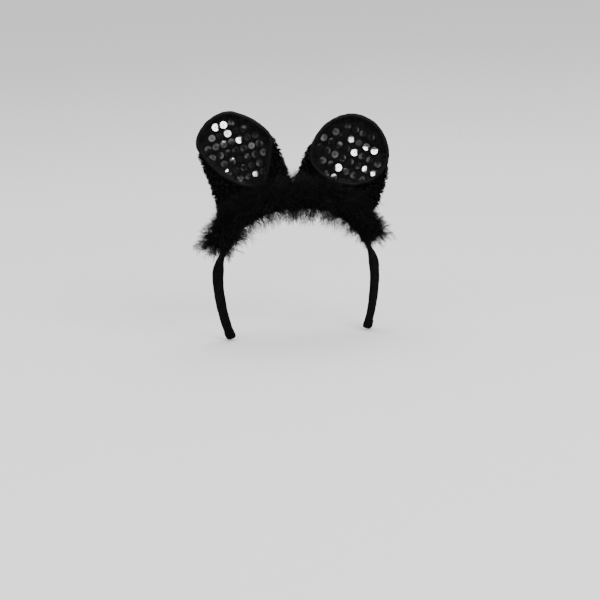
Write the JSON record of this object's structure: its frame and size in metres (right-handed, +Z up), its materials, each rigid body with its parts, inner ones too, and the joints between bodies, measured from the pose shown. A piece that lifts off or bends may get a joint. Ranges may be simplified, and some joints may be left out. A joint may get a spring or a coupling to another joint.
{
  "type": "animal ears headband",
  "caption": "Dress-up headband: a sprung cloth-covered band with plush ears set with sequins and a strip of down",
  "frame": {"origin": "centre of the crown's arc, in the middle of the head that the band grips", "axes": "+Z up through the top of the band, +Y to the back of the head, +X to the right as seen from in front"},
  "size_m": [0.1894, 0.0417, 0.2284],
  "materials": {
    "core_plastic": "matte",
    "band_velvet": "velvet",
    "ribbon": "grosgrain",
    "pad_felt": "felt",
    "cord": "twisted cord",
    "thread": "thread",
    "down": "feather down",
    "plush": "short pile",
    "stuffing": "fibre fill",
    "panel_cloth": "satin",
    "satin": "satin",
    "wire": "bright wire",
    "sequin": "mirror sequin"
  },
  "bodies": {
    "crown": {"crown_core": "core_plastic", "crown_cover": "band_velvet", "crown_ribbon": "ribbon", "left_ear_base_pad": "pad_felt", "right_ear_base_pad": "pad_felt", "trim_cord": "cord", "trim_stitches": "thread", "trim_down_middle": "down", "left_trim_down_end": "down", "right_trim_down_end": "down"},
    "left_arm": {"left_arm_core": "core_plastic", "left_arm_cover": "band_velvet", "left_arm_ribbon": "ribbon", "left_arm_tip": "band_velvet"},
    "left_ear": {"left_ear_base_hem": "plush", "left_ear_stuffing": "stuffing", "left_ear_plush": "plush", "left_ear_panel": "panel_cloth", "left_ear_wire": "wire", "left_ear_binding": "satin", "left_ear_sequins": "sequin", "left_ear_threads": "thread"},
    "right_arm": {"right_arm_core": "core_plastic", "right_arm_cover": "band_velvet", "right_arm_ribbon": "ribbon", "right_arm_tip": "band_velvet"},
    "right_ear": {"right_ear_base_hem": "plush", "right_ear_stuffing": "stuffing", "right_ear_plush": "plush", "right_ear_panel": "panel_cloth", "right_ear_wire": "wire", "right_ear_binding": "satin", "right_ear_sequins": "sequin", "right_ear_threads": "thread"}
  },
  "joints": [
    {"name": "left_arm_flex", "type": "hinge", "parent": "crown", "child": "left_arm", "pos_m": [-0.07064, 0, 0.03756], "axis": [0, 1, 0], "range_deg": [-8, 12], "stiffness_Nm_per_rad": 1},
    {"name": "right_arm_flex", "type": "hinge", "parent": "crown", "child": "right_arm", "pos_m": [0.07064, 0, 0.03756], "axis": [0, -1, 0], "range_deg": [-8, 12], "stiffness_Nm_per_rad": 1},
    {"name": "left_ear_fold", "type": "hinge", "parent": "crown", "child": "left_ear", "pos_m": [-0.0463, 0, 0.08295], "axis": [-0.9833, 0, -0.1822], "range_deg": [-20, 45], "stiffness_Nm_per_rad": 0.1},
    {"name": "right_ear_fold", "type": "hinge", "parent": "crown", "child": "right_ear", "pos_m": [0.0463, 0, 0.08295], "axis": [-0.9833, 0, 0.1822], "range_deg": [-20, 45], "stiffness_Nm_per_rad": 0.1}
  ]
}
